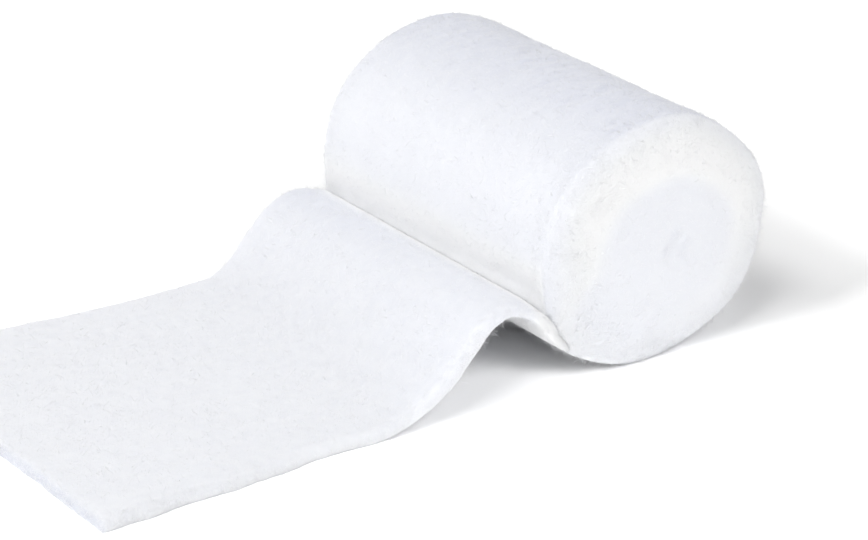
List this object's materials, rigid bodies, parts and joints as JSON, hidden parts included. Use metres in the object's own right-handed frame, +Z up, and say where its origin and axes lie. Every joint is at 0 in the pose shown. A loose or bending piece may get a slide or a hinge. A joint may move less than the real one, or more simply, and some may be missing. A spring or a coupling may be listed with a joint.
{
  "type": "padding bandage roll",
  "caption": "Soft white non-woven padding bandage wound into a roll, its loose end leaving from underneath in a hump and lying flat to a straight cut.",
  "frame": {"origin": "on the surface the bandage rests on, under the middle of the roll", "axes": "+Z up, +Y along the roll from its near end to its far end, +X across the roll, away from the loose end"},
  "size_m": [0.1938, 0.1046, 0.0622],
  "materials": {
    "wound_padding": "matt fibre wadding, soft and slightly fuzzy, wound",
    "loose_padding": "matt fibre wadding, soft and slightly fuzzy, mottled where its fibres thin out"
  },
  "bodies": {
    "root": {"roll": "wound_padding", "loose_end": "loose_padding"}
  },
  "joints": []
}
